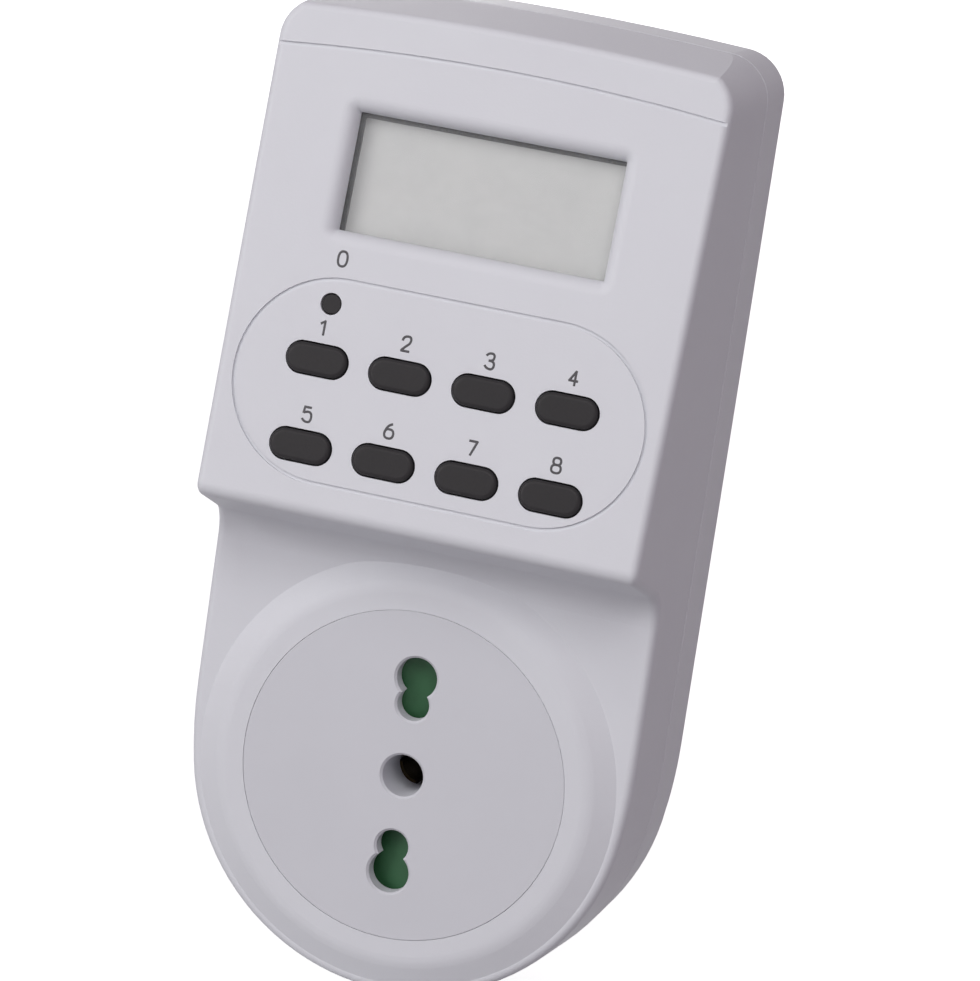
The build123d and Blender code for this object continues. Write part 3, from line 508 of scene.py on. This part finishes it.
def makeInk():
    material, tree, place = startMaterial("pad-printed ink")
    patches = addNode(tree, "ShaderNodeTexNoise",
                      {"Scale": 1 / (inkLook["patch"] * mm), "Detail": inkLook["patchDetail"]},
                      {"Vector": place})
    full, thinnest = inkLook["patchSpan"]
    thin = addNode(tree, "ShaderNodeMapRange", {"From Min": full, "From Max": thinnest},
                   {"Value": patches.outputs[0]})
    base = addNode(tree, "ShaderNodeMix",
                   {"data_type": "RGBA", firstColour: hexColour(inkLook["hex"]),
                    secondColour: hexColour(inkLook["thinHex"])},
                   {0: thin.outputs[0]})
    endMaterial(tree, {"Roughness": inkLook["roughness"], "IOR": inkLook["ior"]},
                {"Base Color": base.outputs[mixedColour]})
    return material


finishes = {name: makePlastic(name, look) for name, look in plasticLooks.items()}
finishes.update({name: makeMetal(name, look) for name, look in metalLooks.items()})
for made in (makeWindow(), makeDisplay(), makeBoard(), makeSleeve(), makeInk()):
    finishes[made.name] = made
print("materials made:", len(finishes))

slotFinishes = {
    "case_plastic": "moulded ABS case",
    "shutter_plastic": "green nylon shutter",
    "spring_steel": "drawn spring steel",
    "insulating_plastic": "glass-filled nylon block",
    "contact_brass": "stamped brass",
    "pin_nickel": "nickel-plated brass pin",
    "sleeve_plastic": "black PBT sleeve",
    "clear_window": "clear acrylic window",
    "display_glass": "reflective display glass",
    # the frame's black paints the shade along the window's top and left edges
    "dark_plastic": "styrene frame black as painted shade",
    "connector_rubber": "layered silicone strip",
    "board_laminate": "lacquered paper laminate board",
    "chip_resin": "poured epoxy",
    "crystal_can": "drawn nickel can",
    "keypad_rubber": "silicone key mat",
    "key_plastic": "satin ABS key",
    "relay_plastic": "moulded PBT relay",
    "film_box": "film capacitor box",
    "capacitor_sleeve": "shrunk PVC capacitor sleeve",
    "battery_steel": "pressed nickel-plated cell",
    "diode_resin": "moulded epoxy diode",
    "resistor_body": "cement lacquer resistor",
    "varistor_coat": "dipped epoxy varistor",
    "ribbon_plastic": "grey PVC ribbon",
    "line_insulation": "brown PVC lead",
    "neutral_insulation": "blue PVC lead",
    "load_insulation": "black PVC lead",
    "screw_steel": "zinc-plated steel screw",
}
# nodes that differ from the rest of their slot
nodeFinishes = {
    # the outlet face is painted a shade greyer than the case, for the shade under the step
    "socket_insert": "moulded ABS outlet face with painted shade",
    # the earth sleeve is painted dark for the shade deep in its hole
    "earth_contact": "brass sleeve painted dark for shade",
}


def dressNodes():
    for part in frame["record"]["subparts"]:
        finish = nodeFinishes.get(part["node"], slotFinishes[part["material_slot"]])
        node = nodes[part["node"]]
        node.data.materials.clear()
        node.data.materials.append(finishes[finish])


dressNodes()
print("nodes dressed")


# Printed numerals on the control panel, one above each key and one above the reset hole

panel = {"footY": -36.4, "footZ": 33.0, "tilt": 9.55}  # as the solids have it, in mm and degrees
numerals = {
    "height": 1.9,  # mm, of a figure
    "stroke": 0.31,
    "thickness": 0.03,
    "legOverlap": 0.35,  # of a stroke's width, past each end of a leg
    "stepsRound": 2,  # how finely a stroke is faceted, round it and along it
    "stepsAlong": 6,
    "above": 4.1,  # mm from a key's middle to its numeral's middle
    "keyPitch": 11.0,
    "firstRow": 9.0,  # mm up the panel, of the lower row of keys
    "rows": ("5678", "1234"),
    "resetPlace": (-15.7, 33.0),
    "resetFigure": "0",
}
# strokes of each figure, in a box one high round its middle: straight legs from point to
# point, a round stroke or a closed ring by its control points
figureStrokes = {
    "0": [("ring", [(-0.32, 0.5), (0.32, 0.5), (0.32, -0.5), (-0.32, -0.5)])],
    "1": [("legs", [(-0.18, 0.26), (0.07, 0.44), (0.07, -0.46)])],
    "2": [("round", [(-0.27, 0.2), (-0.24, 0.5), (0.3, 0.55), (0.3, 0.1), (0.0, -0.14),
                     (-0.27, -0.45)]),
          ("legs", [(-0.25, -0.45), (0.26, -0.45)])],
    "3": [("round", [(-0.26, 0.32), (-0.14, 0.51), (0.3, 0.52), (0.28, 0.03), (-0.06, 0.03)]),
          ("round", [(-0.06, 0.03), (0.36, 0.05), (0.34, -0.52), (-0.14, -0.51), (-0.28, -0.3)])],
    "4": [("legs", [(0.12, -0.46), (0.12, 0.44), (-0.26, -0.18)]),
          ("legs", [(-0.26, -0.18), (0.28, -0.18)])],
    "5": [("legs", [(0.22, 0.45), (-0.19, 0.45), (-0.23, 0.08)]),
          ("round", [(-0.23, 0.05), (0.0, 0.19), (0.34, 0.1), (0.34, -0.52), (-0.14, -0.52),
                     (-0.28, -0.32)])],
    "6": [("round", [(0.18, 0.47), (-0.22, 0.36), (-0.3, -0.16)]),
          ("ring", [(-0.31, 0.11), (0.31, 0.11), (0.31, -0.5), (-0.31, -0.5)])],
    "7": [("legs", [(-0.25, 0.45), (0.26, 0.45), (-0.08, -0.46)])],
    "8": [("ring", [(-0.26, 0.5), (0.26, 0.5), (0.26, 0.03), (-0.26, 0.03)]),
          ("ring", [(-0.32, 0.04), (0.32, 0.04), (0.32, -0.5), (-0.32, -0.5)])],
}


# The place on the panel that is so many mm across and up from the middle of its foot
def onPanel(across, up):
    tilt = radians(panel["tilt"])
    upward = Vector((0, sin(tilt), cos(tilt)))
    outward = Vector((0, -cos(tilt), sin(tilt)))
    foot = Vector((0, panel["footY"], panel["footZ"])) * mm
    turn = Matrix((Vector((1, 0, 0)), upward, outward)).transposed().to_4x4()
    return Matrix.Translation(foot + Vector((across * mm, 0, 0)) + upward * up * mm) @ turn


def addStroke(curve, kind, points):
    spline = curve.splines.new("NURBS")
    spline.points.add(len(points) - 1)
    for point, (across, up) in zip(spline.points, points):
        point.co = (across, up, 0, 1)
    spline.order_u = min(3, len(points))
    spline.use_cyclic_u = kind == "ring"
    spline.use_endpoint_u = kind != "ring"


# A leg runs on a little past its ends, so that two legs meet in a full corner
def legs(points):
    past = numerals["stroke"] / numerals["height"] * numerals["legOverlap"]
    for start, end in zip(points, points[1:]):
        start, end = Vector(start), Vector(end)
        along = (end - start).normalized() * past
        yield start - along, end + along


def makeFigure(figure, across, up):
    deselectAll()
    bpy.ops.object.add(type="CURVE")
    drawn = bpy.context.object
    drawn.data.dimensions = "3D"
    drawn.data.bevel_depth = numerals["stroke"] / numerals["height"] / 2
    drawn.data.bevel_resolution = numerals["stepsRound"]
    drawn.data.resolution_u = numerals["stepsAlong"]
    drawn.data.use_fill_caps = True
    for kind, points in figureStrokes[figure]:
        for stroke in legs(points) if kind == "legs" else [points]:
            addStroke(drawn.data, kind, stroke)
    bpy.ops.object.convert(target="MESH")
    printed = bpy.context.object
    tall = numerals["height"] * mm
    flat = numerals["thickness"] / numerals["stroke"]
    printed.matrix_world = onPanel(across, up) @ Matrix.Diagonal((tall, tall, tall * flat, 1))
    bpy.ops.object.transform_apply(location=True, rotation=True, scale=True)
    return printed


def makeNumerals():
    figures = []
    for row, rowFigures in enumerate(numerals["rows"]):
        up = numerals["firstRow"] + row * numerals["keyPitch"] + numerals["above"]
        for column, figure in enumerate(rowFigures):
            across = (column - (len(rowFigures) - 1) / 2) * numerals["keyPitch"]
            figures.append(makeFigure(figure, across, up))
    figures.append(makeFigure(numerals["resetFigure"], *numerals["resetPlace"]))
    for figure in figures:
        figure.select_set(True)
    bpy.ops.object.join()
    printed = bpy.context.object
    printed.name = "printedNumerals"
    printed.data.materials.clear()
    printed.data.materials.append(finishes["pad-printed ink"])
    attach(printed, "case")


makeNumerals()
print("numerals printed")

bpy.context.scene.view_settings.view_transform = "Standard"
